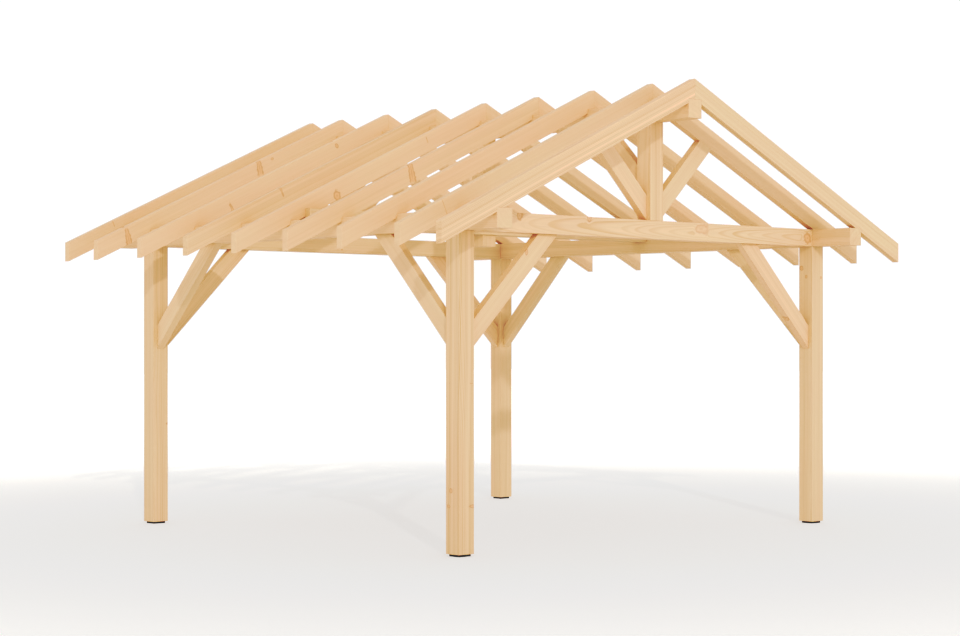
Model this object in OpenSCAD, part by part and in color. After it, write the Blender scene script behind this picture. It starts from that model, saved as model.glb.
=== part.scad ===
// Open timber shelter frame with an apex roof.
// Four posts on foot pads carry two eave plates and two tie beams, stiffened by knee braces.
// A king post and two struts stand on each tie and hold up the ridge beam, which is braced to the
// king posts. A third king post hangs under the middle of the ridge, held by a pair of thin ties.
// Paired rafters, notched over ridge and plates, make the bare roof.
// Millimetres, Z up. The ridge runs along Y, and the gables face -Y (front) and +Y (back).
// The origin is on the floor under the middle of the frame.

/* [Posts and beams] */
// Side of the square section of posts, plates, ties, king posts and ridge
timber = 130; // [90:5:160]
// Distance between post centres across the ridge
span = 3550; // [2600:10:4400]
// Distance between post centres along the ridge
bay = 3550; // [2600:10:4400]
// Length of a post from its pad to the plate
post_h = 2100; // [1700:10:2600]
// How far plates and ridge run past the posts at each gable
gable_overhang = 370; // [200:10:600]

/* [Feet] */
// Thickness of the pad under each post
foot_h = 15; // [5:1:40]
// How far the pad's edge stands back from the post's faces
foot_inset = 15; // [5:1:30]

/* [Roof] */
// Pitch of the roof in degrees, which sets the length of the king posts
pitch = 25; // [18:1:35]
// Thickness of a rafter, along the ridge
rafter_t = 56; // [36:1:70]
// Depth of a rafter, square to the slope
rafter_d = 130; // [90:5:180]
// How far the eaves reach past the outer faces of the plates
eave_overhang = 460; // [250:10:700]

/* [Braces] */
// Thickness of braces and struts
brace_t = 60; // [40:1:90]
// Depth of braces and struts, square to their length
brace_d = 125; // [80:5:150]
// How far the outer edge of a knee brace reaches along its post and its beam
brace_reach = 780; // [500:10:850]
// How far the outer edge of a ridge brace reaches along king post and ridge
ridge_reach = 505; // [350:5:600]

/* [Middle ties] */
// Thickness of each of the two thin ties, along the ridge
middle_t = 56; // [36:1:70]
// Depth of the two thin ties
middle_d = 130; // [90:5:180]
// How far the thin ties hang below the top of the plates
middle_drop = 40; // [20:5:100]

/* [Hidden] */

spruce = [0.88, 0.74, 0.57];
spruce_cut = [0.84, 0.68, 0.49];
pad_grey = [0.20, 0.20, 0.20];

// Signs that place a piece on the left or right, and at the front or back
left = -1;
right = 1;
front = -1;
back = 1;

half = timber / 2;
post_x = span / 2;
post_y = bay / 2;
plate_bottom = foot_h + post_h;
plate_top = plate_bottom + timber;
beam_len = bay + timber + 2 * gable_overhang;

// A rafter's underside runs from the ridge's top centre line to the plate's
slope = tan(pitch);
ridge_top = plate_top + slope * post_x;
ridge_bottom = ridge_top - timber;
king_h = ridge_bottom - plate_top;
rafter_plumb = rafter_d * sqrt(1 + slope * slope);
eave_x = post_x + half + eave_overhang;

// Rafter pairs from front to back: one at each end, the rest spread evenly over the bay
bay_spaces = 6;
end_y = (beam_len - rafter_t) / 2;
bay_y = [for (i = [0 : bay_spaces]) -post_y + i * bay / bay_spaces];
rafter_y = concat([-end_y], bay_y, [end_y]);

// Braces and struts lie at 45 degrees, so their depth measured upright is longer
brace_upright = brace_d * sqrt(2);
ridge_knee = min(ridge_reach, king_h);

// The thin ties clasp the middle rafters and the middle king post
middle_low = plate_top - middle_drop;
middle_high = middle_low + middle_d;
clasp = rafter_t / 2;

function underside(x) = ridge_top - slope * x;
function reached_by_strut(rise) = (ridge_top - plate_top + half - rise) / (1 + slope);

// An outline in X and Z, given thickness to both sides of the plane at y
module across(y, thickness) {
    translate([0, y + thickness / 2, 0])
        rotate([90, 0, 0])
            linear_extrude(height = thickness)
                children();
}

// An outline in Y and Z, given thickness to both sides of the plane at x
module lengthwise(x, thickness) {
    translate([x - thickness / 2, 0, 0])
        rotate([90, 0, 90])
            linear_extrude(height = thickness)
                children();
}

// A square timber standing on height z
module upright(x, y, z, length) {
    translate([x - half, y - half, z])
        cube([timber, timber, length]);
}

// A square timber lying along the ridge's direction
module lengthwise_beam(x, z) {
    translate([x - half, -beam_len / 2, z])
        cube([timber, beam_len, timber]);
}

// A plain pad under a post
module foot(side, end) {
    width = timber - 2 * foot_inset;
    color(pad_grey)
        translate([side * post_x - width / 2, end * post_y - width / 2, 0])
            cube([width, width, foot_h]);
}

module post(side, end) {
    color(spruce)
        upright(side * post_x, end * post_y, foot_h, post_h);
}

module plate(side) {
    color(spruce)
        lengthwise_beam(side * post_x, plate_bottom);
}

// A tie fits between the inner faces of the two plates
module tie(end) {
    color(spruce)
        translate([half - post_x, end * post_y - half, plate_bottom])
            cube([span - timber, timber, timber]);
}

module king_post(end) {
    color(spruce)
        upright(0, end * post_y, plate_top, king_h);
}

// The middle king post hangs as low as the ties, and its cheeks are cut back for the thin ties
module king_post_middle() {
    color(spruce)
        lengthwise(0, timber)
            polygon([
                [-half, plate_bottom], [half, plate_bottom],
                [half, middle_low], [clasp, middle_low], [clasp, middle_high], [half, middle_high],
                [half, ridge_bottom], [-half, ridge_bottom],
                [-half, middle_high], [-clasp, middle_high], [-clasp, middle_low], [-half, middle_low]
            ]);
}

// A thin tie fits between the plates, against one face of the middle rafters
module middle_tie(end) {
    color(spruce)
        translate([half - post_x, end * (clasp + middle_t / 2) - middle_t / 2, middle_low])
            cube([span - timber, middle_t, middle_d]);
}

// A strut rises from the corner of tie and king post to the rafter's underside
module strut(side, end) {
    low_x = reached_by_strut(0);
    high_x = reached_by_strut(brace_upright);
    color(spruce_cut)
        across(end * post_y, brace_t)
            polygon([
                [side * half, plate_top],
                [side * low_x, underside(low_x)],
                [side * high_x, underside(high_x)],
                [side * half, plate_top + brace_upright]
            ]);
}

// A brace in the corner of an upright's face and the beam above, leaning the given way
module brace_outline(face, way, beam, reach) {
    inner_reach = reach - brace_upright;
    polygon([
        [face, beam - reach],
        [face + way * reach, beam],
        [face + way * inner_reach, beam],
        [face, beam - inner_reach]
    ]);
}

module tie_brace(side, end) {
    color(spruce_cut)
        across(end * post_y, brace_t)
            brace_outline(side * (post_x - half), -side, plate_bottom, brace_reach);
}

module plate_brace(side, end) {
    color(spruce_cut)
        lengthwise(side * post_x, brace_t)
            brace_outline(end * (post_y - half), -end, plate_bottom, brace_reach);
}

module ridge_brace(end) {
    color(spruce_cut)
        lengthwise(0, brace_t)
            brace_outline(end * (post_y - half), -end, ridge_bottom, ridge_knee);
}

// A rafter with a plumb cut at the ridge line, notches over ridge and plate, and a plumb tail
module rafter(side, pair) {
    plate_face = post_x + half;
    color(spruce)
        across(rafter_y[pair - 1], rafter_t)
            polygon([
                [0, ridge_top],
                [side * half, ridge_top],
                [side * half, underside(half)],
                [side * post_x, plate_top],
                [side * plate_face, plate_top],
                [side * plate_face, underside(plate_face)],
                [side * eave_x, underside(eave_x)],
                [side * eave_x, underside(eave_x) + rafter_plumb],
                [0, ridge_top + rafter_plumb]
            ]);
}

module foot_front_left() { foot(left, front); }
module foot_front_right() { foot(right, front); }
module foot_back_left() { foot(left, back); }
module foot_back_right() { foot(right, back); }

module post_front_left() { post(left, front); }
module post_front_right() { post(right, front); }
module post_back_left() { post(left, back); }
module post_back_right() { post(right, back); }

module plate_left() { plate(left); }
module plate_right() { plate(right); }
module tie_front() { tie(front); }
module tie_back() { tie(back); }

module king_post_front() { king_post(front); }
module king_post_back() { king_post(back); }
module ridge_beam() { color(spruce) lengthwise_beam(0, ridge_bottom); }

module middle_tie_front() { middle_tie(front); }
module middle_tie_back() { middle_tie(back); }
module ridge_brace_front() { ridge_brace(front); }
module ridge_brace_back() { ridge_brace(back); }

module strut_front_left() { strut(left, front); }
module strut_front_right() { strut(right, front); }
module strut_back_left() { strut(left, back); }
module strut_back_right() { strut(right, back); }

module tie_brace_front_left() { tie_brace(left, front); }
module tie_brace_front_right() { tie_brace(right, front); }
module tie_brace_back_left() { tie_brace(left, back); }
module tie_brace_back_right() { tie_brace(right, back); }

module plate_brace_front_left() { plate_brace(left, front); }
module plate_brace_front_right() { plate_brace(right, front); }
module plate_brace_back_left() { plate_brace(left, back); }
module plate_brace_back_right() { plate_brace(right, back); }

module rafter_left_1() { rafter(left, 1); }
module rafter_left_2() { rafter(left, 2); }
module rafter_left_3() { rafter(left, 3); }
module rafter_left_4() { rafter(left, 4); }
module rafter_left_5() { rafter(left, 5); }
module rafter_left_6() { rafter(left, 6); }
module rafter_left_7() { rafter(left, 7); }
module rafter_left_8() { rafter(left, 8); }
module rafter_left_9() { rafter(left, 9); }
module rafter_right_1() { rafter(right, 1); }
module rafter_right_2() { rafter(right, 2); }
module rafter_right_3() { rafter(right, 3); }
module rafter_right_4() { rafter(right, 4); }
module rafter_right_5() { rafter(right, 5); }
module rafter_right_6() { rafter(right, 6); }
module rafter_right_7() { rafter(right, 7); }
module rafter_right_8() { rafter(right, 8); }
module rafter_right_9() { rafter(right, 9); }

foot_front_left();
foot_front_right();
foot_back_left();
foot_back_right();
post_front_left();
post_front_right();
post_back_left();
post_back_right();
plate_left();
plate_right();
tie_front();
tie_back();
king_post_front();
king_post_middle();
king_post_back();
ridge_beam();
middle_tie_front();
middle_tie_back();
ridge_brace_front();
ridge_brace_back();
strut_front_left();
strut_front_right();
strut_back_left();
strut_back_right();
tie_brace_front_left();
tie_brace_front_right();
tie_brace_back_left();
tie_brace_back_right();
plate_brace_front_left();
plate_brace_front_right();
plate_brace_back_left();
plate_brace_back_right();
rafter_left_1();
rafter_left_2();
rafter_left_3();
rafter_left_4();
rafter_left_5();
rafter_left_6();
rafter_left_7();
rafter_left_8();
rafter_left_9();
rafter_right_1();
rafter_right_2();
rafter_right_3();
rafter_right_4();
rafter_right_5();
rafter_right_6();
rafter_right_7();
rafter_right_8();
rafter_right_9();
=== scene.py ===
"""Looks of an open timber shelter frame with an apex roof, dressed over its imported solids.

Every timber is a clean shell of its solid with eased arrises. It carries its own place in a log as a vertex
attribute, so that one softwood finish runs growth rings along the faces and round the cut ends.
Metres, Z up. The ridge runs along Y, and the front gable faces -Y.
"""
import math
import random

import bmesh
import bpy
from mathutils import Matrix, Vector


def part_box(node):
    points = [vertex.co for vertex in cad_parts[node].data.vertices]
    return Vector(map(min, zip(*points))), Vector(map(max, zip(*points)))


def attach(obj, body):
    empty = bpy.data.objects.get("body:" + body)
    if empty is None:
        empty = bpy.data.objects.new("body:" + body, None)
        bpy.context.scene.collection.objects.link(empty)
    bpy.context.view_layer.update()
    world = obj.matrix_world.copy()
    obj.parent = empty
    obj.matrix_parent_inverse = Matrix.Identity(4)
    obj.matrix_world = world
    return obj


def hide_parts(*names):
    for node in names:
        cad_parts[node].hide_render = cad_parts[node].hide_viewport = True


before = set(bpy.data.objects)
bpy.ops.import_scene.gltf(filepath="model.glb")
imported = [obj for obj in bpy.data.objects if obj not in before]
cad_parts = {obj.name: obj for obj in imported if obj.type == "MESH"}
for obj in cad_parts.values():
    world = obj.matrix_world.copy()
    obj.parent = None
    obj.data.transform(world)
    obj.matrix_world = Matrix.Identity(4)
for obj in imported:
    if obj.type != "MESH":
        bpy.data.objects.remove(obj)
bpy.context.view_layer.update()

# Camera: lens and sensor in millimetres, shifts as a share of the sensor, where it stands and how far it sees
LENS, SENSOR = 80.036, 36.0
SHIFT_X, SHIFT_Y = -0.15169, 0.020897
CAMERA_PLACE = (-10.86157, -12.28419, 1.41627)
CAMERA_HEADING = math.radians(-45.286)
CAMERA_REACH = 200.0

# Floor: half its width, then its colour and its glow under the frame and far away, and how far that is
FLOOR_REACH = 60.0
FLOOR_NEAR, FLOOR_FAR, FLOOR_FADE = (0.50, 0.49, 0.47, 1), (0.60, 0.60, 0.60, 1), 18.0
GLOW_NEAR, GLOW_FAR, GLOW_FADE = 0.33, 0.88, 22.0

# Studio: how bright its walls and its ceiling are, and the heights between which one gives way to the other
WALLS, CEILING = 1.07, 0.70
WALLS_END, CEILING_START = 0.25, 0.9
# Suns: strength, spread in degrees, and the way the light travels
SUNS = {
    "key": (0.76, 1.0, (0.61, 1.0, -0.427)),
    "fill": (0.12, 90.0, (0.75, 0.66, -0.2)),
    "back_fill": (0.45, 90.0, (-0.75, -0.66, -0.3)),
}
SUN_COLOUR = (1.0, 0.99, 0.97)
# How light shows on film, from dark to bright: deep in the shade, and held back where it is bright
FILM = (
    (0.15, 0.10), (0.20, 0.17), (0.31, 0.345), (0.36, 0.40),
    (0.53, 0.573), (0.60, 0.64), (0.82, 0.795), (0.90, 0.84),
)

# Softwood from pale to peach, its late wood and cut ends, and the core and rim of a knot
PALE, PEACH = (0.728, 0.497, 0.301, 1), (0.742, 0.465, 0.290, 1)
LATE_WOOD, CUT_END = (0.520, 0.280, 0.120, 1), (0.560, 0.340, 0.170, 1)
KNOT_CORE, KNOT_RIM = (0.720, 0.410, 0.240, 1), (0.570, 0.300, 0.175, 1)
WOOD_ROUGHNESS, WOOD_SHEEN = 0.86, 0.05
# Growth rings to the metre
RINGS = 150.0
# How fine the figure is, along the log and across it
WANDER, FIBRE = (0.55, 3.0, 3.0), (4.0, 260.0, 260.0)
STREAK, PATCH = (0.6, 36.0, 36.0), (1.1, 6.0, 6.0)
# How far rings stray from a true circle, along the log and across it
STRAY = (0.0, 0.05, 0.05)
# Pads, from their dark crumbs to their pale ones: near black, as painted shade of the gap under each post
PAD_SHADE_DARK, PAD_SHADE_PALE = (0.022, 0.022, 0.022, 1), (0.060, 0.058, 0.055, 1)

# How near and how far from a timber's middle the heart of its log may lie, and how long the log is
HEART_NEAR, HEART_FAR = 0.11, 0.22
LOG = 60.0
# How far to the side of a rafter's middle its heart may lie, above the rafter: its sides are straight grained
RAFTER_HEART = 0.05
# Which of the random sets of logs the rafters have
RAFTER_SEED = 7
# Timbers whose late wood stands out, on a scale from 0 to 1
LINES = {
    "rafter_left_1": 1.0,
    "rafter_left_6": 0.5,
    "rafter_right_1": 0.6,
    "post_front_left": 0.9,
    "king_post_front": 0.75,
    "tie_front": 0.6,
    "plate_right": 0.5,
}
# Timbers whose heart lies behind the face that shows, which gives it arched figure
LOGS = {"tie_front": Vector((4.0, 0.0, 0.045))}
# Timbers whose heart lies where the faces that show get straight lines, or are left plain
HEARTS = {"king_post_front": (-0.181, 0.0), "plate_right": (0.15, -0.15)}
# How far the heart runs out of true along a timber, which draws arched figure out to points
LEANS = {"tie_front": -0.03}

# What a knot does to the figure round it
KNOT_MARKS = {"Core": "NodeSocketFloat", "Rim": "NodeSocketFloat", "Bulge": "NodeSocketFloat"}
# How far apart branches left the log
BRANCH_GAP = 0.42
# Knots listed one by one: where they come through a face, the way the branch ran, its radius, and how plainly
# they show
TIE_FACE, RAFTER_SPIKE = (0.0, -1.0, 0.0), (0.22, -0.12, -0.97)
HEAVY_KNOTS = [
    ((1.654, -1.840, 2.176), TIE_FACE, 0.036, 1.0),
    ((0.460, -1.840, 2.202), (0.92, -0.39, 0.0), 0.030, 0.5),
    ((-0.664, -1.840, 2.234), (0.0, -0.8, 0.6), 0.018, 1.0),
    ((-1.310, -1.840, 2.228), (0.0, -0.8, 0.6), 0.024, 1.0),
    ((-1.840, -1.762, 0.427), (-1.0, 0.0, 0.0), 0.014, 1.0),
    ((1.710, -1.735, 1.949), (-1.0, 0.0, 0.0), 0.017, 1.0),
    ((1.710, -1.781, 1.885), (-0.8, 0.0, 0.6), 0.011, 1.0),
    ((1.815, -1.840, 1.880), TIE_FACE, 0.010, 1.0),
]
BRACE_KNOTS = [((-1.216, -1.805, 1.989), (0.0, -0.6, 0.8), 0.013, 1.0)]
RAFTER_KNOTS = [
    ((-0.836, 1.747, 2.785), RAFTER_SPIKE, 0.022, 1.0),
    ((-0.522, 1.155, 2.930), (0.4, -0.75, -0.52), 0.014, 1.0),
    ((-1.428, -0.028, 2.440), (0.1, -0.8, -0.59), 0.029, 1.0),
    ((-2.036, 1.747, 2.175), RAFTER_SPIKE, 0.020, 1.0),
    ((-1.226, -0.620, 2.585), RAFTER_SPIKE, 0.024, 1.0),
    ((-0.711, 1.747, 2.850), (-0.6, -0.8, 0.0), 0.010, 1.0),
]

# Rise of the roof, as in the part's source, and rows of rafters over the bay between the outermost two
PITCH = math.radians(25)
BAY_ROWS = 7
# Rounding of a planed timber's edges, and of a pad's
ARRIS = 0.002
PAD_ARRIS = 0.002
# Points nearer than this are one
WELD = 1e-5
# Faces that meet at less than the first angle are flat, and outer edges sharper than the second are eased
FLAT, SHARP = 0.01, 0.2
# How squarely a face looks along its timber if it is a cut end
END_FACING = 0.6
# Bake layout: gap between its strips as a share of the sheet, room to spare, and how fast a sheet grows
STRIP_GAP = 0.005
SHEET_SLACK, SHEET_GROWTH = 1.04, 1.01

CORNERS = [f"{end}_{side}" for end in ("front", "back") for side in ("left", "right")]


# Nodes

def put(tree, kind, inputs=None, **settings):
    """Adds a node. A socket among its inputs is linked, and any other value is set."""
    made = tree.nodes.new(kind)
    for name, value in settings.items():
        setattr(made, name, value)
    for name, value in (inputs or {}).items():
        socket = made.inputs[name]
        if isinstance(value, bpy.types.NodeSocket):
            tree.links.new(value, socket)
        else:
            socket.default_value = value
    return made


def calc(tree, operation, *values):
    """A Math node's result."""
    return put(tree, "ShaderNodeMath", dict(enumerate(values)), operation=operation).outputs[0]


def product(tree, first, second):
    """Two values multiplied."""
    return calc(tree, "MULTIPLY", first, second)


def line(tree, value, slope, start):
    """A start, and a value times a slope on top of it."""
    return calc(tree, "MULTIPLY_ADD", value, slope, start)


def clamp(tree, value):
    """A value held between 0 and 1."""
    return put(tree, "ShaderNodeClamp", {"Value": value}).outputs[0]


def ease(tree, value, low, high, at_low=0.0, at_high=1.0):
    """A smooth step from at_low, where value is low, to at_high, where it is high."""
    inputs = {"Value": value, "From Min": low, "From Max": high, "To Min": at_low, "To Max": at_high}
    return put(tree, "ShaderNodeMapRange", inputs, interpolation_type="SMOOTHSTEP").outputs["Result"]


def vector_calc(tree, operation, *values):
    """A Vector Math node, for its vector or its value."""
    return put(tree, "ShaderNodeVectorMath", dict(enumerate(values)), operation=operation).outputs


def vector(tree, **parts):
    """A vector from its X, Y and Z, where those that aren't given are 0."""
    return put(tree, "ShaderNodeCombineXYZ", parts).outputs[0]


def stretched(tree, place, scales):
    """A place with its X, Y and Z multiplied, each by its own scale."""
    return vector_calc(tree, "MULTIPLY", place, scales)["Vector"]


def noise(tree, place, scale, detail=2.0, roughness=0.5):
    """Noise about zero, from about -0.5 to 0.5."""
    inputs = {"Vector": place, "Scale": scale, "Detail": detail, "Roughness": roughness}
    grey = put(tree, "ShaderNodeTexNoise", inputs).outputs[0]
    return calc(tree, "SUBTRACT", grey, 0.5)


def blend(tree, share, first, second, way="MIX"):
    """Two colours mixed."""
    made = tree.nodes.new("ShaderNodeMix")
    made.data_type = "RGBA"
    made.blend_type = way
    for identifier, value in (("Factor_Float", share), ("A_Color", first), ("B_Color", second)):
        socket = next(s for s in made.inputs if s.identifier == identifier)
        if isinstance(value, bpy.types.NodeSocket):
            tree.links.new(value, socket)
        else:
            socket.default_value = value
    return next(s for s in made.outputs if s.identifier == "Result_Color")


def place_of(tree):
    """Where a point of the piece is, in the frame."""
    return put(tree, "ShaderNodeTexCoord").outputs["Object"]


def held(tree, name, socket="Fac"):
    """What the mesh holds under this name."""
    return put(tree, "ShaderNodeAttribute", attribute_name=name).outputs[socket]


def group_tree(name, kind, inputs, outputs):
    """An empty node group with these sockets, and its input and output nodes."""
    tree = bpy.data.node_groups.new(name, kind)
    for socket, socket_kind in inputs.items():
        tree.interface.new_socket(socket, in_out="INPUT", socket_type=socket_kind)
    for socket, socket_kind in outputs.items():
        tree.interface.new_socket(socket, in_out="OUTPUT", socket_type=socket_kind)
    return tree, tree.nodes.new("NodeGroupInput").outputs, tree.nodes.new("NodeGroupOutput").inputs


def new_material(name):
    """A material, its tree and its shader."""
    material = bpy.data.materials.new(name)
    material.use_nodes = True
    return material, material.node_tree, material.node_tree.nodes["Principled BSDF"]


def add_bump(tree, shader, height, strength, depth):
    """Gives a finish its fine relief."""
    bump = put(tree, "ShaderNodeBump", {"Height": height, "Strength": strength, "Distance": depth})
    tree.links.new(bump.outputs[0], shader.inputs["Normal"])


# Camera, floor and light

def add_camera():
    """The view at the front left corner, a little below eye level, with upright posts."""
    lens = bpy.data.cameras.new("camera")
    lens.sensor_width = SENSOR
    lens.lens = LENS
    lens.shift_x = SHIFT_X
    lens.shift_y = SHIFT_Y
    lens.clip_end = CAMERA_REACH
    camera = bpy.data.objects.new("camera", lens)
    camera.location = CAMERA_PLACE
    camera.rotation_euler = (math.radians(90), 0.0, CAMERA_HEADING)
    bpy.context.scene.collection.objects.link(camera)
    bpy.context.scene.camera = camera


def add_floor():
    """A pale floor that fades to white away from the frame."""
    mesh = bpy.data.meshes.new("floor")
    corners = [(x * FLOOR_REACH, y * FLOOR_REACH, 0) for x, y in ((-1, -1), (1, -1), (1, 1), (-1, 1))]
    mesh.from_pydata(corners, [], [(0, 1, 2, 3)])
    floor = bpy.data.objects.new("floor", mesh)
    bpy.context.scene.collection.objects.link(floor)
    material, tree, shader = new_material("pale_floor")
    distance = vector_calc(tree, "LENGTH", place_of(tree))["Value"]
    colour = blend(tree, ease(tree, distance, 0.0, FLOOR_FADE), FLOOR_NEAR, FLOOR_FAR)
    glow = ease(tree, distance, 0.0, GLOW_FADE, GLOW_NEAR, GLOW_FAR)
    tree.links.new(colour, shader.inputs["Base Color"])
    shader.inputs["Emission Color"].default_value = (1, 1, 1, 1)
    tree.links.new(glow, shader.inputs["Emission Strength"])
    shader.inputs["Roughness"].default_value = 0.9
    shader.inputs["Specular IOR Level"].default_value = 0.1
    mesh.materials.append(material)


def add_light():
    """White studio walls under a dimmer ceiling, a low, crisp key from the front left, and broad fills."""
    world = bpy.data.worlds.new("studio")
    world.use_nodes = True
    tree = world.node_tree
    white = tree.nodes["Background"]
    white.inputs["Color"].default_value = (1.0, 1.0, 1.0, 1)
    way = put(tree, "ShaderNodeTexCoord").outputs["Generated"]
    height = put(tree, "ShaderNodeSeparateXYZ", {0: way}).outputs["Z"]
    strength = ease(tree, height, WALLS_END, CEILING_START, WALLS, CEILING)
    tree.links.new(strength, white.inputs["Strength"])
    bpy.context.scene.world = world
    for name, (energy, spread, travel) in SUNS.items():
        lamp = bpy.data.lights.new(name, "SUN")
        lamp.energy = energy
        lamp.angle = math.radians(spread)
        lamp.color = SUN_COLOUR
        light = bpy.data.objects.new(name, lamp)
        light.rotation_euler = Vector(travel).to_track_quat("-Z", "Y").to_euler()
        bpy.context.scene.collection.objects.link(light)
    view = bpy.context.scene.view_settings
    view.view_transform = "Standard"
    view.use_curve_mapping = True
    combined = view.curve_mapping.curves[3]
    for given, shown in FILM:
        combined.points.new(given, shown)
    view.curve_mapping.update()


# Softwood, and pads darkened with painted shade

def ragged(tree, place):
    """A factor about 1 that roughens a knot's outline."""
    return line(tree, noise(tree, place, 40.0), 1.1, 1.0)


def knot_marks(tree, away, radius):
    """A knot's core and dark rim, and how far it pushes the rings aside, at a distance given in radii."""
    core = ease(tree, away, 0.9, 1.2, 1.0, 0.0)
    rim = product(tree, ease(tree, away, 0.45, 0.9), ease(tree, away, 0.9, 1.3, 1.0, 0.0))
    eye = ease(tree, away, 0.1, 0.35, 0.7, 0.0)
    fall = calc(tree, "EXPONENT", product(tree, product(tree, away, away), -0.35))
    bulge = product(tree, fall, product(tree, radius, 0.5))
    return {"Core": core, "Rim": calc(tree, "MAXIMUM", rim, eye), "Bulge": bulge}


def knot_group():
    """One knot: a branch of some radius that comes through the surface at a point of the frame."""
    inputs = {
        "Centre": "NodeSocketVector",
        "Way": "NodeSocketVector",
        "Radius": "NodeSocketFloat",
        "Strength": "NodeSocketFloat",
    }
    tree, given, out = group_tree("knot", "ShaderNodeTree", inputs, KNOT_MARKS)
    place = place_of(tree)
    offset = vector_calc(tree, "SUBTRACT", place, given["Centre"])["Vector"]
    along = vector_calc(tree, "DOT_PRODUCT", offset, given["Way"])["Value"]
    back = put(tree, "ShaderNodeVectorMath", {0: given["Way"], "Scale": along}, operation="SCALE").outputs[0]
    flat = vector_calc(tree, "LENGTH", vector_calc(tree, "SUBTRACT", offset, back)["Vector"])["Value"]
    taper = product(tree, line(tree, along, 4.0, 1.0), given["Radius"])
    away = product(tree, calc(tree, "DIVIDE", flat, taper), ragged(tree, place))
    near = ease(tree, calc(tree, "ABSOLUTE", along), 0.055, 0.085, given["Strength"], 0.0)
    for socket, mark in knot_marks(tree, away, given["Radius"]).items():
        tree.links.new(product(tree, mark, near), out[socket])
    return tree


def wandering(tree, grain):
    """A place in a log whose rings wander: X along the heart, Y and Z across it."""
    slow = {"Vector": stretched(tree, grain, WANDER), "Scale": 1.0, "Detail": 2.0}
    way = put(tree, "ShaderNodeTexNoise", slow).outputs["Color"]
    way = vector_calc(tree, "SUBTRACT", way, (0.5, 0.5, 0.5))["Vector"]
    place = vector_calc(tree, "ADD", grain, stretched(tree, way, STRAY))["Vector"]
    return put(tree, "ShaderNodeSeparateXYZ", {0: place}).outputs


def branch_marks(tree, grain, place):
    """Marks of the branches that leave the heart here and there, all the way round."""
    turn = product(tree, calc(tree, "ARCTAN2", place["Z"], place["Y"]), HEART_NEAR)
    bark = {"Vector": vector(tree, X=place["X"], Y=turn), "Scale": 1 / BRANCH_GAP}
    cells = put(tree, "ShaderNodeTexVoronoi", bark, voronoi_dimensions="2D").outputs
    chance = put(tree, "ShaderNodeSeparateColor", {0: cells["Color"]}).outputs[0]
    radius = ease(tree, chance, 0.65, 1.0, 0.0001, 0.018)
    distance = product(tree, product(tree, cells["Distance"], BRANCH_GAP), ragged(tree, grain))
    return knot_marks(tree, calc(tree, "DIVIDE", distance, radius), radius)


def late_wood(tree, radius, lines):
    """Late wood in each year's ring, and how far it stands out in that run of years. Some years are wide."""
    years = vector(tree, X=radius)
    uneven = product(tree, noise(tree, years, 45.0, 1.0), 2.4)
    ring = calc(tree, "FRACT", line(tree, radius, RINGS, uneven))
    late = product(tree, ease(tree, ring, 0.35, 0.85), ease(tree, ring, 0.9, 1.0, 1.0, 0.0))
    band = product(tree, clamp(tree, line(tree, noise(tree, years, 42.0, 1.0), 2.4, 0.5)), lines)
    return product(tree, late, band), band


def figure_group():
    """The figure of planed softwood, from a timber's place in its log."""
    outputs = {"Colour": "NodeSocketColor", "Roughness": "NodeSocketFloat", "Height": "NodeSocketFloat"}
    tree, given, out = group_tree("softwood_figure", "ShaderNodeTree", KNOT_MARKS, outputs)
    grain = held(tree, "grain", "Vector")
    cut, tone, lines = held(tree, "end_grain"), held(tree, "tone"), held(tree, "lines")

    # Rings bulge round knots, by chance and where listed
    place = wandering(tree, grain)
    marks = branch_marks(tree, grain, place)
    core = calc(tree, "MAXIMUM", marks["Core"], given["Core"])
    rim = calc(tree, "MAXIMUM", marks["Rim"], given["Rim"])
    bulge = calc(tree, "ADD", marks["Bulge"], given["Bulge"])
    across = calc(tree, "ADD", product(tree, place["Y"], place["Y"]), product(tree, place["Z"], place["Z"]))
    late, band = late_wood(tree, calc(tree, "ADD", calc(tree, "SQRT", across), bulge), lines)

    # Fibres, streaks and broad patches
    fibre = noise(tree, stretched(tree, grain, FIBRE), 1.0, 3.0, 0.6)
    streak = noise(tree, stretched(tree, grain, STREAK), 1.0)
    patch = noise(tree, stretched(tree, grain, PATCH), 1.0)

    # Colour, then how light or dark it is
    rosy = clamp(tree, calc(tree, "ADD", line(tree, patch, 1.8, 0.45), product(tree, tone, 0.35)))
    wood = blend(tree, rosy, PALE, PEACH)
    wood = blend(tree, late, wood, LATE_WOOD)
    wood = blend(tree, product(tree, cut, 0.12), wood, CUT_END)
    wood = blend(tree, core, wood, KNOT_CORE)
    wood = blend(tree, rim, wood, KNOT_RIM)
    shade = calc(tree, "ADD", line(tree, fibre, 0.14, 1.0), product(tree, tone, 0.04))
    uneven = product(tree, streak, line(tree, lines, 0.16, 0.08))
    shade = calc(tree, "ADD", line(tree, lines, 0.03, uneven), shade)
    shade = line(tree, band, -0.10, shade)
    grey = put(tree, "ShaderNodeCombineColor", {"Red": shade, "Green": shade, "Blue": shade}).outputs[0]
    tree.links.new(blend(tree, 1.0, wood, grey, "MULTIPLY"), out["Colour"])
    tree.links.new(line(tree, late, -0.10, line(tree, fibre, 0.12, WOOD_ROUGHNESS)), out["Roughness"])
    tree.links.new(line(tree, late, 0.5, product(tree, fibre, 0.8)), out["Height"])
    return tree


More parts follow.
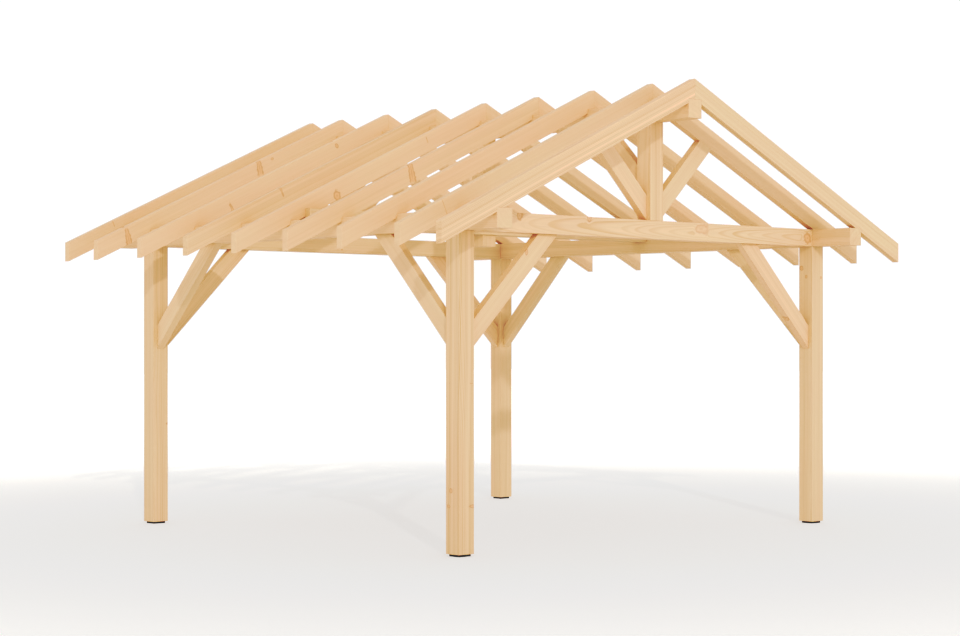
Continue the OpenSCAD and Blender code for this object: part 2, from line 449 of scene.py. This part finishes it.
def softwood(name, knot_tree, figure_tree, knots):
    """Planed, untreated softwood with these listed knots."""
    material, tree, shader = new_material(name)
    found = dict.fromkeys(KNOT_MARKS, 0.0)
    for centre, way, radius, strength in knots:
        inputs = {"Centre": centre, "Way": way, "Radius": radius, "Strength": strength}
        marks = put(tree, "ShaderNodeGroup", inputs, node_tree=knot_tree).outputs
        for mark, value in found.items():
            found[mark] = calc(tree, "ADD" if mark == "Bulge" else "MAXIMUM", value, marks[mark])
    figure = put(tree, "ShaderNodeGroup", found, node_tree=figure_tree).outputs
    tree.links.new(figure["Colour"], shader.inputs["Base Color"])
    tree.links.new(figure["Roughness"], shader.inputs["Roughness"])
    shader.inputs["Specular IOR Level"].default_value = WOOD_SHEEN
    add_bump(tree, shader, figure["Height"], 0.35, 0.0006)
    return material


def painted_shade_pad():
    """Matt bearing pads with a fine crumb, painted near black as the shade in the gap under each post."""
    material, tree, shader = new_material("painted_shade_pad")
    crumb = noise(tree, place_of(tree), 420.0, 3.0, 0.7)
    colour = blend(tree, clamp(tree, line(tree, crumb, 1.6, 0.5)), PAD_SHADE_DARK, PAD_SHADE_PALE)
    tree.links.new(colour, shader.inputs["Base Color"])
    tree.links.new(line(tree, crumb, 0.2, 0.8), shader.inputs["Roughness"])
    add_bump(tree, shader, crumb, 0.4, 0.0008)
    return material


# Timbers

def shell(node, rounding):
    """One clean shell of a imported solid, with its outer edges eased."""
    bm = bmesh.new()
    bm.from_mesh(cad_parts[node].data)
    bmesh.ops.remove_doubles(bm, verts=bm.verts, dist=WELD)
    bmesh.ops.dissolve_limit(bm, angle_limit=FLAT, verts=bm.verts, edges=bm.edges)
    outer = [edge for edge in bm.edges if edge.is_convex and edge.calc_face_angle(0.0) > SHARP]
    bmesh.ops.bevel(bm, geom=outer, offset=rounding, offset_type="OFFSET", segments=2, profile=0.5,
                    affect="EDGES", clamp_overlap=True)
    bmesh.ops.recalc_face_normals(bm, faces=bm.faces)
    return bm


def timber_axes(along):
    """Unit vectors along a timber, up across it and sideways across it."""
    along = Vector(along).normalized()
    side = along.cross(Vector((0, 0, 1)))
    side = side.normalized() if side.length > 0.1 else Vector((0, 1, 0))
    return along, side.cross(along), side


def middle_of(bm):
    """The middle of a shell's points."""
    return sum((vert.co for vert in bm.verts), Vector()) / len(bm.verts)


def span(points, axis):
    """The least and greatest reach of points along an axis."""
    reaches = [point.dot(axis) for point in points]
    return min(reaches), max(reaches)


def cut_lengths(bm, along):
    """Cuts a timber's faces crosswise into short lengths.

    Each is about half as long as a square that would hold all its sides.
    """
    axes = timber_axes(along)
    spans = [span([vert.co for vert in bm.verts], axis) for axis in axes]
    length, *girth = (high - low for low, high in spans)
    count = math.ceil(2 * length / (SHEET_SLACK * math.sqrt(length * 2 * sum(girth))))
    ends = [spans[0][0] + length * n / count for n in range(1, count)]
    for end in ends:
        everything = bm.verts[:] + bm.edges[:] + bm.faces[:]
        bmesh.ops.bisect_plane(bm, geom=everything, plane_co=axes[0] * end, plane_no=axes[0])
    return ends


def face_islands(bm, along, ends):
    """Groups of neighbouring faces in one length that face one way, with the two axes that they lie along."""
    axes = timber_axes(along)
    ways = [(axis * sign, [a for a in axes if a is not axis]) for axis in axes for sign in (1, -1)]

    def kind(face):
        way = max(range(6), key=lambda n: face.normal.dot(ways[n][0]))
        return way, sum(face.calc_center_median().dot(axes[0]) > end for end in ends)

    kinds = {face: kind(face) for face in bm.faces}
    while kinds:
        first, wanted = next(iter(kinds.items()))
        del kinds[first]
        island = [first]
        for face in island:
            for other in (f for edge in face.edges for f in edge.link_faces if kinds.get(f) == wanted):
                del kinds[other]
                island.append(other)
        yield island, ways[wanted[0]][1]


def lay_strips(bm, along, ends):
    """A UV map for baking: every side of every length is a strip, and they lie in rows, the widest first."""
    uv = bm.loops.layers.uv.new("OFBake")
    strips = []
    for island, axes in face_islands(bm, along, ends):
        corners = [loop.vert.co for face in island for loop in face.loops]
        spans = [span(corners, axis) for axis in axes]
        if spans[0][1] - spans[0][0] < spans[1][1] - spans[1][0]:
            axes, spans = axes[::-1], spans[::-1]
        strips.append((spans[1][1] - spans[1][0], spans[0][1] - spans[0][0], island, axes, spans))
    strips.sort(key=lambda strip: strip[:2], reverse=True)
    sheet = math.sqrt(sum(height * width for height, width, *_ in strips))
    places, used = [], math.inf
    while used > sheet:
        sheet *= SHEET_GROWTH
        gap = STRIP_GAP * sheet
        places, x, y, row = [], gap, gap, 0.0
        for height, width, *_ in strips:
            if x + width + gap > sheet:
                x, y, row = gap, y + row + gap, 0.0
            places.append((x, y))
            x, row = x + width + gap, max(row, height)
        used = y + row + gap
    for place, (_, _, island, axes, spans) in zip(places, strips):
        for loop in (loop for face in island for loop in face.loops):
            reaches = [loop.vert.co.dot(axis) - low for axis, (low, _) in zip(axes, spans)]
            loop[uv].uv = [(at + reach) / sheet for at, reach in zip(place, reaches)]


def mark_grain(bm, along, log, tone, lines, lean=0.0):
    """Gives each vertex its place in the log, and tells the cut ends from the faces along the grain."""
    along, up, side = timber_axes(along)
    middle = middle_of(bm)
    grain = bm.verts.layers.float_vector.new("grain")
    ends = bm.faces.layers.float.new("end_grain")
    tones = bm.verts.layers.float.new("tone")
    strengths = bm.verts.layers.float.new("lines")
    for vert in bm.verts:
        place = vert.co - middle
        depth = place.dot(side) + lean * place.dot(along)
        vert[grain] = Vector((place.dot(along), place.dot(up), depth)) + log
        vert[tones], vert[strengths] = tone, lines
    for face in bm.faces:
        face[ends] = 1.0 if abs(face.normal.dot(along)) > END_FACING else 0.0


def piece_from(bm, node, material):
    """Makes the shell a piece that stands for its solid."""
    mesh = bpy.data.meshes.new(node + "_piece")
    bm.to_mesh(mesh)
    bm.free()
    mesh.materials.clear()
    mesh.materials.append(material)
    piece = bpy.data.objects.new(mesh.name, mesh)
    bpy.context.scene.collection.objects.link(piece)
    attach(piece, "root")
    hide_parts(node)


logs = random.Random(11)


def any_log():
    """A stretch of a log with its heart off a corner of the timber, so that rings run straight on faces."""
    turn = (logs.randrange(4) + 0.5) * math.pi / 2 + logs.uniform(-0.35, 0.35)
    reach = logs.uniform(HEART_NEAR, HEART_FAR)
    return Vector((logs.uniform(0, LOG), reach * math.cos(turn), reach * math.sin(turn)))


def add_timber(node, along, material):
    """One timber whose grain runs along the given way."""
    bm = shell(node, ARRIS)
    lay_strips(bm, along, cut_lengths(bm, along))
    log = LOGS.get(node) or any_log()
    log.yz = HEARTS.get(node, log.yz)
    tone = logs.uniform(-1, 1)
    lines = LINES.get(node, logs.uniform(0.2, 0.5))
    mark_grain(bm, along, log, tone, lines, LEANS.get(node, 0.0))
    piece_from(bm, node, material)


# Rafters

def store(tree, geometry, name, value, kind, domain):
    """Geometry that holds a value under this name."""
    inputs = {"Geometry": geometry, "Name": name, "Value": value}
    return put(tree, "GeometryNodeStoreNamedAttribute", inputs, data_type=kind, domain=domain).outputs[0]


def named(tree, name):
    """The vector that geometry holds under this name."""
    return put(tree, "GeometryNodeInputNamedAttribute", {"Name": name}, data_type="FLOAT_VECTOR").outputs[0]


def mesh_line(tree, count, start, step):
    """Points in a line along Y."""
    inputs = {"Count": count, "Start Location": vector(tree, Y=start), "Offset": vector(tree, Y=step)}
    return put(tree, "GeometryNodeMeshLine", inputs).outputs[0]


def rafter_rows():
    """A tree that sets out rafters from one: rows over the bay and one at each end, each also turned."""
    inputs = {
        "Geometry": "NodeSocketGeometry",
        "Rows over the bay": "NodeSocketInt",
        "Bay": "NodeSocketFloat",
        "End row": "NodeSocketFloat",
        "Log from": "NodeSocketVector",
        "Log to": "NodeSocketVector",
        "Seed": "NodeSocketInt",
        "Material": "NodeSocketMaterial",
    }
    outputs = {"Geometry": "NodeSocketGeometry"}
    tree, given, out = group_tree("rafter_rows", "GeometryNodeTree", inputs, outputs)
    tree.is_modifier = True
    gaps = calc(tree, "SUBTRACT", given["Rows over the bay"], 1.0)
    step = calc(tree, "DIVIDE", given["Bay"], gaps)
    rows = mesh_line(tree, given["Rows over the bay"], product(tree, given["Bay"], -0.5), step)
    ends = mesh_line(tree, 2, product(tree, given["End row"], -1.0), product(tree, given["End row"], 2.0))
    places = tree.nodes.new("GeometryNodeJoinGeometry")
    both = tree.nodes.new("GeometryNodeJoinGeometry")
    for points in (ends, rows):
        tree.links.new(points, places.inputs[0])
    for turn in (math.pi, 0.0):
        copy = {"Points": places.outputs[0], "Instance": given["Geometry"], "Rotation": (0, 0, turn)}
        tree.links.new(put(tree, "GeometryNodeInstanceOnPoints", copy).outputs[0], both.inputs[0])
    index = put(tree, "GeometryNodeInputIndex").outputs[0]
    copies = store(tree, both.outputs[0], "copy", index, "INT", "INSTANCE")
    stretch = put(tree, "FunctionNodeRandomValue", data_type="FLOAT_VECTOR")
    for name, value in (("Min", given["Log from"]), ("Max", given["Log to"]), ("Seed", given["Seed"])):
        tree.links.new(value, next(s for s in stretch.inputs if s.name == name and s.enabled))
    copies = store(tree, copies, "log", stretch.outputs[0], "FLOAT_VECTOR", "INSTANCE")
    whole = put(tree, "GeometryNodeRealizeInstances", {"Geometry": copies}).outputs[0]
    grain = vector_calc(tree, "ADD", named(tree, "grain"), named(tree, "log"))["Vector"]
    whole = store(tree, whole, "grain", grain, "FLOAT_VECTOR", "POINT")
    finish = put(tree, "GeometryNodeSetMaterial", {"Geometry": whole, "Material": given["Material"]})
    tree.links.new(finish.outputs[0], out[0])
    return tree


def all_rafters(material):
    """One mesh of all rafters, set out from the front left one."""
    low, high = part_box("rafter_left_1")
    first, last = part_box("rafter_left_2"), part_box("rafter_left_8")
    bm = shell("rafter_left_1", ARRIS)
    bmesh.ops.translate(bm, vec=(0, -(low.y + high.y) / 2, 0), verts=bm.verts)
    slope = (math.cos(PITCH), 0, math.sin(PITCH))
    lay_strips(bm, slope, cut_lengths(bm, slope))
    mark_grain(bm, slope, Vector(), 0.0, 0.0)
    mesh = bpy.data.meshes.new("one_rafter")
    bm.to_mesh(mesh)
    bm.free()
    one = bpy.data.objects.new("one_rafter", mesh)
    bpy.context.scene.collection.objects.link(one)
    tree = rafter_rows()
    modifier = one.modifiers.new("rows", "NODES")
    modifier.node_group = tree
    sizes = {
        "Rows over the bay": BAY_ROWS,
        "Bay": last[0].y - first[0].y,
        "End row": -(low.y + high.y) / 2,
        "Log from": (0.0, HEART_NEAR, -RAFTER_HEART),
        "Log to": (LOG, HEART_FAR, RAFTER_HEART),
        "Seed": RAFTER_SEED,
        "Material": material,
    }
    for item in tree.interface.items_tree:
        if item.in_out == "INPUT" and item.name in sizes:
            modifier[item.identifier] = sizes[item.name]
    graph = bpy.context.evaluated_depsgraph_get()
    made = one.evaluated_get(graph)
    whole = bpy.data.meshes.new_from_object(made, preserve_all_data_layers=True, depsgraph=graph)
    bpy.data.objects.remove(one)
    return whole


def add_rafters(material):
    """One piece for each rafter, parted from the mesh of them all."""
    parts = bmesh.new()
    parts.from_mesh(all_rafters(material))
    copy = parts.verts.layers.int["copy"]
    found = {"left": [], "right": []}
    for number in sorted({vert[copy] for vert in parts.verts}):
        part = parts.copy()
        layer = part.verts.layers.int["copy"]
        others = [vert for vert in part.verts if vert[layer] != number]
        bmesh.ops.delete(part, geom=others, context="VERTS")
        found["left" if middle_of(part).x < 0 else "right"].append(part)
    parts.free()
    for side, row in found.items():
        row.sort(key=lambda part: middle_of(part).y)
        for pair, part in enumerate(row, 1):
            node = f"rafter_{side}_{pair}"
            tones, strengths = part.verts.layers.float["tone"], part.verts.layers.float["lines"]
            tone = logs.uniform(-1, 1)
            lines = LINES.get(node, logs.uniform(0.1, 0.25))
            for vert in part.verts:
                vert[tones], vert[strengths] = tone, lines
            piece_from(part, node, material)


def build():
    """The stage, the finishes, and a piece for each solid."""
    add_camera()
    add_floor()
    add_light()
    knot_tree, figure_tree = knot_group(), figure_group()
    heavy = softwood("heavy_softwood", knot_tree, figure_tree, HEAVY_KNOTS)
    brace = softwood("brace_softwood", knot_tree, figure_tree, BRACE_KNOTS)
    rafter = softwood("rafter_softwood", knot_tree, figure_tree, RAFTER_KNOTS)
    # The pads' near-black colour is painted shade of the gap under each post
    pad_shade = painted_shade_pad()
    for corner in CORNERS:
        end, side = corner.split("_")
        inward = 1 if side == "left" else -1
        onward = 1 if end == "front" else -1
        piece_from(shell("foot_" + corner, PAD_ARRIS), "foot_" + corner, pad_shade)
        add_timber("post_" + corner, (0, 0, 1), heavy)
        add_timber("strut_" + corner, (-inward, 0, 1), brace)
        add_timber("tie_brace_" + corner, (inward, 0, 1), brace)
        add_timber("plate_brace_" + corner, (0, onward, 1), brace)
    for side in ("left", "right"):
        add_timber("plate_" + side, (0, 1, 0), heavy)
    for end, onward in (("front", 1), ("back", -1)):
        add_timber("tie_" + end, (1, 0, 0), heavy)
        add_timber("king_post_" + end, (0, 0, 1), heavy)
        add_timber("middle_tie_" + end, (1, 0, 0), rafter)
        add_timber("ridge_brace_" + end, (0, onward, 1), brace)
    add_timber("king_post_middle", (0, 0, 1), heavy)
    add_timber("ridge_beam", (0, 1, 0), heavy)
    add_rafters(rafter)


build()
